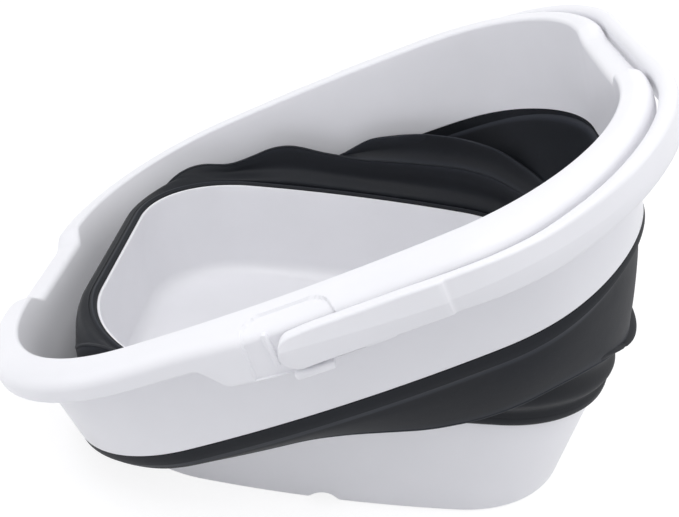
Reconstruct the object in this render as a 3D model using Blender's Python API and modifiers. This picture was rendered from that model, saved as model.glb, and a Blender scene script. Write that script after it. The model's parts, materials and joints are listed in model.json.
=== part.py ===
"""Collapsible tub: a white base tub and a white rim shell, joined by a folding rubber wall, with a
swinging bail handle. It stands half open, with its right end raised. Metres, Z up, length along X."""

from math import cos, exp, pi, radians, sin, sqrt

import bmesh
import bpy
from mathutils import Euler, Vector

# Driving dimensions of the rim shell
RIM_HALF_LENGTH = 0.190
RIM_HALF_WIDTH = 0.172
RIM_CORNER = 0.116
SIDE_RADIUS = 0.800
SHELL_HEIGHT = 0.070
SHELL_TAPER = 0.0015
SHELL_WALL = 0.0024
ROLL_WALL = 0.0022
ROLL_REACH = 0.0178
ROLL_REACH_SIDE_SEAT = 0.0215
ROLL_REACH_END_SEAT = 0.0135
ROLL_DEPTH = 0.0144
CROWN_REACH = 0.0045
CROWN_RISE = 0.0006
SHOULDER_DEPTH = 0.0080
INNER_EDGE_ROUND = 0.0026
SKIRT_DEPTH = 0.027
SKIRT_START = -0.049
SKIRT_START_STEP = 0.0155
SKIRT_END = 0.072
SKIRT_END_STEP = 0.028
GRIP_HALF_WIDTH = 0.053
GRIP_STEP = 0.015
GRIP_DROP = 0.0076
SEAT_START = -0.060
SEAT_FULL = -0.015
SEAT_TURN_START = 0.1
SEAT_TURN_FULL = 0.9

# Driving dimensions of the base tub, which nests inside the shell
BASE_INSET_END = 0.0316
BASE_INSET_SIDE = 0.0369
BASE_HALF_LENGTH = RIM_HALF_LENGTH - BASE_INSET_END
BASE_HALF_WIDTH = RIM_HALF_WIDTH - BASE_INSET_SIDE
BASE_TOP_CORNER = 0.0785
BASE_FOOT_CORNER = 0.0824
BASE_HEIGHT = 0.0805
BASE_DRAFT = 0.004
BASE_WALL = 0.0022
BASE_FLOOR = 0.0024
FOOT_ROUND = 0.0085
FOOT_RECESS = 0.004
FOOT_WIDTH = 0.006
NOTCH_WIDTH = 0.0175
NOTCH_HEIGHT = 0.0042
NOTCH_X = -0.0068

# Driving dimensions of the handle
PIVOT_X = 0.005
PIVOT_DEPTH = 0.0155
PIN_RADIUS = 0.004
PIN_LENGTH = 0.010
PIN_OVERLAP = 0.003
HANDLE_GAP = 0.0015
HANDLE_HALF_LENGTH = RIM_HALF_LENGTH + ROLL_REACH_END_SEAT + HANDLE_GAP
HANDLE_HALF_WIDTH = RIM_HALF_WIDTH + ROLL_REACH_SIDE_SEAT + HANDLE_GAP
HANDLE_CORNER = RIM_CORNER + (ROLL_REACH_SIDE_SEAT + ROLL_REACH_END_SEAT) / 2 + HANDLE_GAP
ARM_THICKNESS = 0.007
GRIP_THICKNESS = 0.010
ARM_TOP = -0.0055
ARM_BOTTOM = -0.0239
WAIST_X = 0.120
WAIST_TOP = -0.0070
WAIST_BOTTOM = -0.0258
GRIP_TOP = -0.0010
GRIP_BOTTOM = -0.0200
HEEL = 0.0086
HEEL_END_HEIGHT = 0.17
BOSS_END = 0.0765
BOSS_STEP = 0.0015
BOSS_THICKNESS = 0.0025
HANDLE_EDGE = 0.0016
TAB_LENGTH = 0.020
TAB_THICKNESS = 0.0038
TAB_REACH = 0.005
RIB_WIDTH = 0.003
RIB_HEIGHT = 0.018
RIB_REACH = 0.0012
RIB_ROOT = 0.0018
POCKET_DEPTH = 0.001
POCKET_START = -0.018
POCKET_END = 0.026
POCKET_TOP = -0.0055

# Driving dimensions of the folding wall
CAP_HEIGHT = 0.010
CAP_REACH = 0.007
CAP_CROWN = 0.0019
CAP_SEAT = 0.0007
COLLAR_HEIGHT = 0.0055
COLLAR_THICKNESS = 0.0026
COLLAR_EDGE = 0.0006
CREASE_RADIUS = 0.0013
FOLD_THICKNESS = 0.0013
LOWER_CREASE_HALF_LENGTH = BASE_HALF_LENGTH + 0.383 * BASE_INSET_END
LOWER_CREASE_HALF_WIDTH = BASE_HALF_WIDTH + 0.390 * BASE_INSET_SIDE
LOWER_CREASE_LEFT_Z = 0.081
LOWER_CREASE_RIGHT_Z = 0.036
LOWER_CREASE_DROP = 0.033
DROP_LENGTH = 0.060
UPPER_CREASE_HALF_LENGTH = BASE_HALF_LENGTH + 0.573 * BASE_INSET_END
UPPER_CREASE_HALF_WIDTH = BASE_HALF_WIDTH + 0.661 * BASE_INSET_SIDE
UPPER_CREASE_LEFT_Z = 0.0155
UPPER_CREASE_RIGHT_Z = 0.060
UPPER_CREASE_SAG = 0.011
SAG_X = 0.075
SAG_WIDTH = 0.064
CREASE_CORNER = 0.096

# Places of the end hinges, and how far the right end stands raised
AXIS_OUTSIDE_BASE = 0.0082
END_AXIS_X = BASE_HALF_LENGTH + AXIS_OUTSIDE_BASE
END_AXIS_Z = 0.0406
AXIS_BELOW_RIM = 0.0424
TILT = radians(30.0)
BASE_X = 0.02684

# Clearances
SEAT_GAP = 0.0003
PIN_CLEARANCE = 0.0001

# Points of each quarter of an outline: its end, its corner and its side
END_STEPS = 4
CORNER_STEPS = 9
SIDE_STEPS = 8
FOLD_STEPS = 4
ROUND_STEPS = 4
BEAD_STEPS = 8
ARM_STEPS = 5


def clear_scene():
    for obj in list(bpy.data.objects):
        bpy.data.objects.remove(obj, do_unlink=True)


def material(name, colour, roughness):
    made = bpy.data.materials.new(name)
    made.use_nodes = True
    shader = made.node_tree.nodes["Principled BSDF"]
    shader.inputs["Base Color"].default_value = (*colour, 1.0)
    shader.inputs["Roughness"].default_value = roughness
    shader.inputs["Metallic"].default_value = 0.0
    return made


def empty(name, location, turn=0.0):
    """An empty at a joint's axis, turned so that its +X end is raised by turn."""
    made = bpy.data.objects.new(name, None)
    bpy.data.collections["collapsible_tub"].objects.link(made)
    made.location = location
    made.rotation_euler = Euler((0.0, -turn, 0.0))
    return made


def smooth_step(value, start, end):
    share = min(max((value - start) / (end - start), 0.0), 1.0)
    return share * share * (3.0 - 2.0 * share)


def outline(half_length, half_width, corner, side_radius=SIDE_RADIUS):
    """Points and outward normals, from the +X end round through +Y: straight ends, round corners and
    sides of a large radius, all tangent."""
    corner_x = half_length - corner
    reach = side_radius - corner
    side_centre_y = half_width - side_radius
    corner_y = side_centre_y + sqrt(reach**2 - corner_x**2)
    last = pi / 2 - Vector((corner_y - side_centre_y, corner_x)).angle(Vector((1.0, 0.0)))
    quarter = []
    for step in range(END_STEPS):
        y = corner_y * step / END_STEPS
        quarter.append((half_length, y, 1.0, 0.0))
    for step in range(CORNER_STEPS):
        angle = last * step / CORNER_STEPS
        x = corner_x + corner * cos(angle)
        y = corner_y + corner * sin(angle)
        quarter.append((x, y, cos(angle), sin(angle)))
    for step in range(SIDE_STEPS + 1):
        angle = last + (pi / 2 - last) * step / SIDE_STEPS
        quarter.append(
            (side_radius * cos(angle), side_centre_y + side_radius * sin(angle), cos(angle), sin(angle))
        )
    left_back = [(-x, y, -nx, ny) for x, y, nx, ny in reversed(quarter[:-1])]
    back = quarter + left_back
    front = [(x, -y, nx, -ny) for x, y, nx, ny in reversed(back[1:-1])]
    return back + front


def ring(stations, offset, height):
    """A closed row of points beside an outline. offset and height are numbers, or functions of a station."""
    points = []
    for station in stations:
        x, y, nx, ny = station
        out = offset(station) if callable(offset) else offset
        z = height(station) if callable(height) else height
        points.append((x + out * nx, y + out * ny, z))
    return points


def loft(name, rows, owner, finish, closed_section=True):
    """A solid through closed rows of points. The last row joins the first when closed_section is set, and
    otherwise both are filled."""
    count = len(rows[0])
    points = [point for row in rows for point in row]
    faces = []
    for row in range(len(rows) if closed_section else len(rows) - 1):
        start = row * count
        after = (row + 1) % len(rows) * count
        for step in range(count):
            beside = (step + 1) % count
            faces.append((start + step, start + beside, after + beside, after + step))
    if not closed_section:
        faces.append(tuple(reversed(range(count))))
        faces.append(tuple(range((len(rows) - 1) * count, len(rows) * count)))
    return mesh_object(name, points, faces, owner, finish)


def mesh_object(name, points, faces, owner, finish):
    mesh = bpy.data.meshes.new(name)
    mesh.from_pydata(points, [], faces)
    shape = bmesh.new()
    shape.from_mesh(mesh)
    bmesh.ops.recalc_face_normals(shape, faces=shape.faces)
    shape.to_mesh(mesh)
    shape.free()
    mesh.polygons.foreach_set("use_smooth", [len(polygon.vertices) == 4 for polygon in mesh.polygons])
    mesh.materials.append(finish)
    made = bpy.data.objects.new(name, mesh)
    bpy.data.collections["collapsible_tub"].objects.link(made)
    made.parent = owner
    return made


def round_bar(centre, axis_length, radius, name):
    """A cylinder along Y, as a cutter or as a pin to be joined."""
    bpy.ops.mesh.primitive_cylinder_add(vertices=32, radius=radius, depth=axis_length, location=centre)
    made = bpy.context.object
    made.name = name
    made.rotation_euler = Euler((pi / 2, 0.0, 0.0))
    return made


def block(centre, size, name):
    bpy.ops.mesh.primitive_cube_add(size=1.0, location=centre)
    made = bpy.context.object
    made.name = name
    made.scale = size
    return made


def combine(target, tool, operation):
    """Adds or cuts with a helper, which stays in its own hidden collection."""
    for holder in list(tool.users_collection):
        holder.objects.unlink(tool)
    bpy.data.collections["helpers"].objects.link(tool)
    tool.parent = target.parent
    tool.hide_render = True
    tool.display_type = "WIRE"
    change = target.modifiers.new(operation.lower() + "_" + tool.name, "BOOLEAN")
    change.operation = operation
    change.solver = "EXACT"
    change.object = tool


def base_tub(owner, finish):
    top = outline(BASE_HALF_LENGTH, BASE_HALF_WIDTH, BASE_TOP_CORNER)
    foot = outline(BASE_HALF_LENGTH - BASE_DRAFT, BASE_HALF_WIDTH - BASE_DRAFT, BASE_FOOT_CORNER)
    floor_top = FOOT_RECESS + BASE_FLOOR
    inner_round = FOOT_ROUND - BASE_WALL
    rows = [
        ring(foot, -FOOT_ROUND - FOOT_WIDTH - FOOT_RECESS, FOOT_RECESS),
        ring(foot, -FOOT_ROUND - FOOT_WIDTH, 0.0),
        ring(foot, -FOOT_ROUND, 0.0),
    ]
    for step in range(1, ROUND_STEPS + 1):
        turn = pi / 2 * step / ROUND_STEPS
        rows.append(ring(foot, -FOOT_ROUND * (1.0 - sin(turn)), FOOT_ROUND * (1.0 - cos(turn))))
    rows.append(ring(top, BASE_WALL, BASE_HEIGHT - CAP_HEIGHT))
    rows.append(ring(top, BASE_WALL, BASE_HEIGHT))
    rows.append(ring(top, 0.0, BASE_HEIGHT))
    for step in range(ROUND_STEPS):
        turn = pi / 2 * step / ROUND_STEPS
        height = floor_top + inner_round * (1.0 - sin(turn))
        rows.append(ring(foot, -BASE_WALL - inner_round * (1.0 - cos(turn)), height))
    rows.append(ring(foot, -BASE_WALL - inner_round, floor_top))
    tub = loft("base_tub", rows, owner, finish, closed_section=False)
    notch_radius = ((NOTCH_WIDTH / 2) ** 2 + NOTCH_HEIGHT**2) / (2 * NOTCH_HEIGHT)
    foot_y = BASE_HALF_WIDTH - BASE_DRAFT - FOOT_ROUND / 2
    for side, y in (("front", -foot_y), ("back", foot_y)):
        centre = (NOTCH_X, y, NOTCH_HEIGHT - notch_radius)
        cutter = round_bar(centre, FOOT_ROUND + 2 * FOOT_WIDTH, notch_radius, side + "_notch")
        combine(tub, cutter, "DIFFERENCE")
    return tub


def wall_cap(owner, finish):
    """The rubber bead moulded round the lip of the base, from which the folding wall springs."""
    top = outline(BASE_HALF_LENGTH, BASE_HALF_WIDTH, BASE_TOP_CORNER)
    inner = BASE_WALL + SEAT_GAP
    low = BASE_HEIGHT - CAP_HEIGHT
    high = BASE_HEIGHT + SEAT_GAP
    crown = BASE_HEIGHT + CAP_CROWN
    rows = [
        ring(top, inner, low),
        ring(top, CAP_REACH * 0.7, low),
        ring(top, CAP_REACH, low + CAP_HEIGHT * 0.3),
        ring(top, CAP_REACH, high),
        ring(top, CAP_REACH * 0.8, crown),
        ring(top, CAP_REACH * 0.15, crown),
        ring(top, 0.0, high + CAP_SEAT),
        ring(top, 0.0, high),
        ring(top, inner, high),
    ]
    return loft("wall_cap", rows, owner, finish)


def shell_outline():
    return outline(RIM_HALF_LENGTH, RIM_HALF_WIDTH, RIM_CORNER)


def roll_reach(station):
    """How far the rolled rim stands out: less at the right, where the handle lies outside it."""
    x, y, nx, ny = station
    right = smooth_step(x, SEAT_START, SEAT_FULL)
    towards_end = smooth_step(abs(nx), SEAT_TURN_START, SEAT_TURN_FULL)
    seat = ROLL_REACH_SIDE_SEAT + (ROLL_REACH_END_SEAT - ROLL_REACH_SIDE_SEAT) * towards_end
    return ROLL_REACH + (seat - ROLL_REACH) * right


def grip_drop(station):
    """How much lower the rim is in the middle of each end, where the hand goes."""
    x, y, nx, ny = station
    if abs(nx) < 0.5:
        return 0.0
    return GRIP_DROP * (1.0 - smooth_step(abs(y), GRIP_HALF_WIDTH - GRIP_STEP, GRIP_HALF_WIDTH))


def skirt_depth(station):
    x, y, nx, ny = station
    share = smooth_step(x, SKIRT_START, SKIRT_START + SKIRT_START_STEP)
    share *= 1.0 - smooth_step(x, SKIRT_END - SKIRT_END_STEP, SKIRT_END)
    return ROLL_DEPTH + (SKIRT_DEPTH - ROLL_DEPTH) * share


def shoulder(stations, turn, wall):
    """A row of the roll's rounded shoulder: from its outer face, at turn 0, up to its crown, at a quarter
    turn. wall is the distance inside the outer surface."""

    def reach(station):
        return CROWN_REACH + (roll_reach(station) - wall - CROWN_REACH) * cos(turn)

    def height(station):
        lowered = grip_drop(station) * (0.5 + 0.5 * sin(turn))
        return CROWN_RISE - SHOULDER_DEPTH + (SHOULDER_DEPTH - wall) * sin(turn) - lowered

    return ring(stations, reach, height)


def rim_shell(owner, finish):
    """Outer wall and rolled rim in one piece. Heights are below the rim's crown; the roll is hollow."""
    stations = shell_outline()
    rows = [
        ring(stations, -SHELL_TAPER, -SHELL_HEIGHT),
        ring(stations, -SHELL_TAPER / 2, -ROLL_DEPTH),
    ]
    for step in range(ROUND_STEPS, -1, -1):
        rows.append(shoulder(stations, pi / 2 * step / ROUND_STEPS, ROLL_WALL))
    rows.append(ring(stations, lambda s: roll_reach(s) - ROLL_WALL, lambda s: -skirt_depth(s)))
    rows.append(ring(stations, roll_reach, lambda s: -skirt_depth(s)))
    for step in range(ROUND_STEPS + 1):
        rows.append(shoulder(stations, pi / 2 * step / ROUND_STEPS, 0.0))
    rows.append(ring(stations, INNER_EDGE_ROUND - SHELL_WALL, lambda s: CROWN_RISE / 2 - grip_drop(s)))
    rows.append(ring(stations, -SHELL_WALL, lambda s: -INNER_EDGE_ROUND - grip_drop(s)))
    rows.append(ring(stations, -SHELL_WALL - SHELL_TAPER, -SHELL_HEIGHT))
    rows = [shifted(row) for row in rows]
    shell = loft("rim_shell", rows, owner, finish)
    hole_y = RIM_HALF_WIDTH + ROLL_REACH_SIDE_SEAT - ROLL_WALL / 2
    stop_y = RIM_HALF_WIDTH + ROLL_REACH_SIDE_SEAT
    heel_x = PIVOT_X - HEEL
    tab_place = (heel_x + TAB_LENGTH / 2, ARM_BOTTOM - HANDLE_GAP / 2 - TAB_THICKNESS / 2)
    rib_place = (heel_x - HANDLE_GAP - RIB_WIDTH, ARM_BOTTOM + RIB_HEIGHT / 2)
    pocket_place = ((POCKET_START + POCKET_END) / 2, POCKET_TOP - SKIRT_DEPTH / 2)
    pocket_size = (POCKET_END - POCKET_START, 2 * POCKET_DEPTH, SKIRT_DEPTH)
    for side, sign in (("front", -1.0), ("back", 1.0)):
        pocket = block(on_skirt(pocket_place, sign * stop_y), pocket_size, side + "_pivot_pocket")
        combine(shell, pocket, "DIFFERENCE")
        centre = pivot_place(sign * hole_y)
        hole = round_bar(centre, 4 * ROLL_WALL, PIN_RADIUS + PIN_CLEARANCE, side + "_pivot_hole")
        combine(shell, hole, "DIFFERENCE")
        stops = (
            ("_stop_tab", tab_place, TAB_LENGTH, TAB_REACH, TAB_REACH, TAB_THICKNESS),
            ("_stop_rib", rib_place, RIB_WIDTH, RIB_REACH, RIB_ROOT, RIB_HEIGHT),
        )
        for name, place, width, reach, root, tall in stops:
            centre = on_skirt(place, sign * (stop_y + (reach - root) / 2))
            combine(shell, block(centre, (width, reach + root, tall), side + name), "UNION")
    return shell


def on_skirt(place, y):
    """A place by the skirt, from its x and z in the rim's own centre, in the frame of the rim's parent."""
    x, z = place
    return (x + END_AXIS_X, y, z + AXIS_BELOW_RIM)


def shifted(row):
    """From the rim's own centre to the left end's hinge axis, where the rim's parent stands."""
    return [(x + END_AXIS_X, y, z + AXIS_BELOW_RIM) for x, y, z in row]


def pivot_place(y):
    return on_skirt((PIVOT_X, -PIVOT_DEPTH), y)


def shell_collar(owner, finish):
    """The rubber bead moulded under the shell's lower edge."""
    stations = shell_outline()
    outer = -SHELL_TAPER
    top = -SHELL_HEIGHT - SEAT_GAP
    low = top - COLLAR_HEIGHT
    rows = [
        ring(stations, outer, top),
        ring(stations, outer - COLLAR_THICKNESS, top),
        ring(stations, outer - COLLAR_THICKNESS, low + COLLAR_EDGE),
        ring(stations, outer - COLLAR_THICKNESS + COLLAR_EDGE, low),
        ring(stations, outer - COLLAR_EDGE, low),
        ring(stations, outer, low + COLLAR_EDGE),
    ]
    return loft("shell_collar", [shifted(row) for row in rows], owner, finish)


def crease_row(half_length, half_width, left_z, right_z, drop, sag, offset=0.0, lift=0.0):
    """A crease's row of points round its hinge axis. It slopes from the left end to the right one, falls
    by drop round the left end, and hangs lower by sag about SAG_X."""
    stations = outline(half_length, half_width, CREASE_CORNER)

    def height(station):
        share = (station[0] + half_length) / (2 * half_length)
        fallen = drop * (1.0 - smooth_step(station[0], -half_length, DROP_LENGTH - half_length))
        hanging = sag * exp(-(((station[0] - SAG_X) / SAG_WIDTH) ** 2))
        return left_z + (right_z - left_z) * share - fallen - hanging + lift

    return [(x, y, z - END_AXIS_Z) for x, y, z in ring(stations, offset, height)]


LOWER_CREASE = (
    LOWER_CREASE_HALF_LENGTH,
    LOWER_CREASE_HALF_WIDTH,
    LOWER_CREASE_LEFT_Z,
    LOWER_CREASE_RIGHT_Z,
    LOWER_CREASE_DROP,
    0.0,
)
UPPER_CREASE = (
    UPPER_CREASE_HALF_LENGTH,
    UPPER_CREASE_HALF_WIDTH,
    UPPER_CREASE_LEFT_Z,
    UPPER_CREASE_RIGHT_Z,
    0.0,
    UPPER_CREASE_SAG,
)


def crease(name, sizes, axis_x, owner, finish):
    rows = []
    for step in range(BEAD_STEPS):
        turn = 2 * pi * step / BEAD_STEPS
        row = crease_row(*sizes, offset=CREASE_RADIUS * cos(turn), lift=-CREASE_RADIUS * sin(turn))
        rows.append([(x - axis_x, y, z) for x, y, z in row])
    return loft(name, rows, owner, finish)


def in_world(owner, row):
    return [owner.matrix_world @ Vector(point) for point in row]


def set_back(row, place, span, clear):
    """The share of span to leave free, so that a fold's edge stays clear of the bead that runs along row."""
    along = (row[(place + 1) % len(row)] - row[place - 1]).normalized()
    across = (span - along * span.dot(along)).length
    return min(clear / across, 0.45)


def fold(name, lower, upper, lower_clear, upper_clear, owner, finish):
    """A soft web between two rows of world points, with its edges set back by the clear distances."""
    count = len(lower)
    rows = [[] for step in range(FOLD_STEPS + 1)]
    for place in range(count):
        low = lower[place]
        span = upper[place] - low
        start = set_back(lower, place, span, lower_clear)
        end = 1.0 - set_back(upper, place, span, upper_clear)
        for step, row in enumerate(rows):
            row.append(low + span * (start + (end - start) * step / FOLD_STEPS))
    faces = []
    for row in range(FOLD_STEPS):
        near = row * count
        far = near + count
        for place in range(count):
            beside = (place + 1) % count
            faces.append((near + place, near + beside, far + beside, far + place))
    inverse = owner.matrix_world.inverted()
    points = [inverse @ point for row in rows for point in row]
    made = mesh_object(name, points, faces, owner, finish)
    thicken = made.modifiers.new("thickness", "SOLIDIFY")
    thicken.thickness = FOLD_THICKNESS
    thicken.offset = 0.0
    return made


def handle_stations():
    """Inner and outer points of the bail, from the front arm's heel round to the back one's."""
    grip_half_length = HANDLE_HALF_LENGTH + GRIP_THICKNESS
    arm_half_width = HANDLE_HALF_WIDTH + ARM_THICKNESS
    inner = outline(HANDLE_HALF_LENGTH, HANDLE_HALF_WIDTH, HANDLE_CORNER)
    outer = outline(grip_half_length, arm_half_width, HANDLE_CORNER + ARM_THICKNESS)
    quarter = END_STEPS + CORNER_STEPS + 1
    pairs = [(a[:2], b[:2]) for a, b in zip(inner[:quarter], outer[:quarter])]
    places = [BOSS_END + BOSS_STEP]
    places += [PIVOT_X + (BOSS_END - PIVOT_X) * (1 - step / ARM_STEPS) for step in range(ARM_STEPS + 1)]
    places += [PIVOT_X - HEEL * sin(pi / 2 * step / ROUND_STEPS) for step in range(1, ROUND_STEPS + 1)]
    for x in places:
        inner_y = HANDLE_HALF_WIDTH - SIDE_RADIUS + sqrt(SIDE_RADIUS**2 - x**2)
        outer_y = arm_half_width - SIDE_RADIUS + sqrt(SIDE_RADIUS**2 - x**2)
        pairs.append(((x, inner_y), (x, outer_y)))
    front = [((a[0], -a[1]), (b[0], -b[1])) for a, b in reversed(pairs[1:])]
    return front + pairs


def handle_section(inner, outer):
    """Eight points of the bail's section at one place, with eased edges. The heel is round about the pin,
    the arm dips to its waist, and the grip rises from there."""
    x = inner[0]
    to_waist = smooth_step(x, BOSS_END, WAIST_X)
    to_grip = smooth_step(x, WAIST_X, HANDLE_HALF_LENGTH)
    top = ARM_TOP + (WAIST_TOP - ARM_TOP) * to_waist + (GRIP_TOP - WAIST_TOP) * to_grip
    bottom = ARM_BOTTOM + (WAIST_BOTTOM - ARM_BOTTOM) * to_waist + (GRIP_BOTTOM - WAIST_BOTTOM) * to_grip
    if x < PIVOT_X:
        round_share = sqrt(max(1.0 - ((PIVOT_X - x) / HEEL) ** 2, 0.0))
        half = (ARM_TOP - ARM_BOTTOM) / 2 * max(round_share, HEEL_END_HEIGHT)
        middle = (ARM_TOP + ARM_BOTTOM) / 2
        top = middle + half
        bottom = middle - half
    boss = BOSS_THICKNESS * (1.0 - smooth_step(x, BOSS_END, BOSS_END + BOSS_STEP))
    near = Vector(inner)
    far = Vector(outer)
    far += (far - near).normalized() * boss
    ease = min(HANDLE_EDGE, (top - bottom) / 4)
    side = (far - near).normalized() * ease
    return [
        (*near, top - ease),
        (*(near + side), top),
        (*(far - side), top),
        (*far, top - ease),
        (*far, bottom + ease),
        (*(far - side), bottom),
        (*(near + side), bottom),
        (*near, bottom + ease),
    ]


def handle(owner, finish):
    rows = []
    for inner, outer in handle_stations():
        section = handle_section(inner, outer)
        rows.append([(x - PIVOT_X, y, z + PIVOT_DEPTH) for x, y, z in section])
    bail = loft("handle", rows, owner, finish, closed_section=False)
    for side, sign in (("front", -1.0), ("back", 1.0)):
        centre_y = sign * (HANDLE_HALF_WIDTH + PIN_OVERLAP - PIN_LENGTH / 2)
        combine(bail, round_bar((0.0, centre_y, 0.0), PIN_LENGTH, PIN_RADIUS, side + "_pin"), "UNION")
    return bail


def main():
    clear_scene()
    for name in ("collapsible_tub", "helpers"):
        bpy.context.scene.collection.children.link(bpy.data.collections.new(name))
    white = material("white_plastic", (0.86, 0.86, 0.90), 0.35)
    rubber = material("charcoal_rubber", (0.035, 0.037, 0.043), 0.55)

    base = empty("base_centre", (BASE_X, 0.0, 0.0))
    left_axis = Vector((BASE_X - END_AXIS_X, 0.0, END_AXIS_Z))
    link = Vector((cos(TILT / 2), 0.0, sin(TILT / 2))) * (2 * END_AXIS_X)
    lower_link = empty("right_end_lift_axis", left_axis, TILT / 2)
    upper_link = empty("left_end_lift_axis", left_axis + link, TILT / 2)
    rim = empty("rim_tilt_axis", left_axis, TILT)
    bail_axis = empty("handle_axis", (0.0, 0.0, 0.0))
    bail_axis.parent = rim
    bail_axis.location = pivot_place(0.0)
    bpy.context.view_layer.update()

    base_tub(base, white)
    wall_cap(base, rubber)
    crease("lower_crease", LOWER_CREASE, -END_AXIS_X, lower_link, rubber)
    crease("upper_crease", UPPER_CREASE, END_AXIS_X, upper_link, rubber)
    rim_shell(rim, white)
    shell_collar(rim, rubber)
    handle(bail_axis, white)

    base_outline = outline(BASE_HALF_LENGTH, BASE_HALF_WIDTH, BASE_TOP_CORNER)
    beside_cap = CAP_REACH + SEAT_GAP + FOLD_THICKNESS / 2
    cap_edge = in_world(base, ring(base_outline, beside_cap, BASE_HEIGHT))
    lower_row = [(x + END_AXIS_X, y, z) for x, y, z in crease_row(*LOWER_CREASE)]
    upper_row = [(x - END_AXIS_X, y, z) for x, y, z in crease_row(*UPPER_CREASE)]
    lower_edge = in_world(lower_link, lower_row)
    upper_edge = in_world(upper_link, upper_row)
    collar_inside = -SHELL_TAPER - COLLAR_THICKNESS - SEAT_GAP - FOLD_THICKNESS / 2
    collar_row = shifted(ring(shell_outline(), collar_inside, -SHELL_HEIGHT - COLLAR_HEIGHT))
    collar_edge = in_world(rim, collar_row)
    beside_crease = CREASE_RADIUS + SEAT_GAP + FOLD_THICKNESS / 2
    fold("lower_fold", cap_edge, lower_edge, 0.0, beside_crease, lower_link, rubber)
    fold("middle_fold", lower_edge, upper_edge, beside_crease, beside_crease, upper_link, rubber)
    fold("upper_fold", upper_edge, collar_edge, beside_crease, 0.0, rim, rubber)


main()
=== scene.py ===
"""Collapsible tub: the look of the part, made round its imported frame. A white base tub and a
white rim shell are joined by a charcoal folding wall, and a bail handle swings on the rim.
Metres, Z up."""

import json
from math import atan2, cos, pi, radians, sin, sqrt

import bmesh
import bpy
import numpy as np
from mathutils import Euler, Matrix, Vector


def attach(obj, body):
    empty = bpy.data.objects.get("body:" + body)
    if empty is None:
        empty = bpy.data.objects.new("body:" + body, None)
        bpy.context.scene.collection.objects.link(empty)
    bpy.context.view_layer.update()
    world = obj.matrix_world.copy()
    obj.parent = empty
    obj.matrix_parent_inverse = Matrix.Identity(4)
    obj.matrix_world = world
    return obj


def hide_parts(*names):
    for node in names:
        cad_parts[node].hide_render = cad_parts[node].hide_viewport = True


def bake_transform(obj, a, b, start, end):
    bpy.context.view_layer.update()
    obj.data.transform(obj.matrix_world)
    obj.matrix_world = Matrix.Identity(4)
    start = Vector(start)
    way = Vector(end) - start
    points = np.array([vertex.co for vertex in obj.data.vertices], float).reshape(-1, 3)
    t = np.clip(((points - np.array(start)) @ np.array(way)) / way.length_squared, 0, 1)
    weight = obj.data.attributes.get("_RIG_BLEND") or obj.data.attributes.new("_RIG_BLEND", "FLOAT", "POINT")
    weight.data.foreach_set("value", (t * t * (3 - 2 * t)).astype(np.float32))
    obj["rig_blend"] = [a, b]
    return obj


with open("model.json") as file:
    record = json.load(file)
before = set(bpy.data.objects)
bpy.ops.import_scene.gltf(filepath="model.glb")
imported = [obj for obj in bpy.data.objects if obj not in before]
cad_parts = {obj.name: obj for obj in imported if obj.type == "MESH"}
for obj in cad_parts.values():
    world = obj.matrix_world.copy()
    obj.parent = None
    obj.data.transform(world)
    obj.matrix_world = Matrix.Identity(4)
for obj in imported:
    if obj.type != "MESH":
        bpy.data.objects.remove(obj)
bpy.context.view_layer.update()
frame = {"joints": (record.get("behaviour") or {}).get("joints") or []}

bl_info = {
    "name": "Collapsible tub",
    "version": (1, 0, 0),
    "blender": (4, 5, 0),
    "location": "3D View > Sidebar > Tub",
    "description": "Builds a collapsible tub with its folding wall, rim shell and bail handle",
    "category": "Object",
}

JOINTS = {joint["name"]: joint for joint in frame["joints"]}
PLASTIC = "satin_white_plastic"
RUBBER = "charcoal_wall_rubber"

# Angles in degrees past which an edge is shaded sharp
RIGID_SHARP = 38.0
SOFT_SHARP = 60.0

# Sizes of the frame's solids. An outline is its half length, half width and corner radius.
SIDE_RADIUS = 0.800
RIM = (0.190, 0.172, 0.116)
BASE_TOP = (0.1584, 0.1351, 0.0785)
BASE_FOOT = (0.1544, 0.1311, 0.0824)
BASE_HEIGHT = 0.0805
LOWER_CREASE = (0.1705, 0.1495, 0.096)
UPPER_CREASE = (0.1765, 0.1595, 0.096)
BAIL = (0.205, 0.195, 0.135)
END_AXIS_X = 0.1666
END_AXIS_Z = 0.0406
AXIS_BELOW_RIM = 0.0424
SHELL_HEIGHT = 0.070
SHELL_TAPER = 0.0015
PIVOT_X = 0.005
PIVOT_DEPTH = 0.0155

# Places of the hinges, read from the frame
LEFT_AXIS = Vector(JOINTS["right_end_lift"]["pos_m"])
RIGHT_AXIS = Vector(JOINTS["left_end_lift"]["pos_m"])
LINK_TILT = atan2(RIGHT_AXIS.z - LEFT_AXIS.z, RIGHT_AXIS.x - LEFT_AXIS.x)
BASE_PLACE = Matrix.Translation((LEFT_AXIS.x + END_AXIS_X, 0.0, 0.0))
LINK_PLACE = (
    Matrix.Translation(LEFT_AXIS)
    @ Matrix.Rotation(-LINK_TILT, 4, "Y")
    @ Matrix.Translation((END_AXIS_X, 0.0, -END_AXIS_Z))
)
RIM_PLACE = (
    Matrix.Translation(LEFT_AXIS)
    @ Matrix.Rotation(-2 * LINK_TILT, 4, "Y")
    @ Matrix.Translation((END_AXIS_X, 0.0, AXIS_BELOW_RIM))
)

# Camera, fitted to the photograph's outlines
CAMERA_PLACE = (-0.001561, -0.533702, 0.377003)
CAMERA_TURN = (1.079712, -0.121575, 0.036543)
CAMERA_FOCUS_PX = 893.598
PHOTO_WIDTH_PX = 679
SENSOR_MM = 36.0


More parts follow.
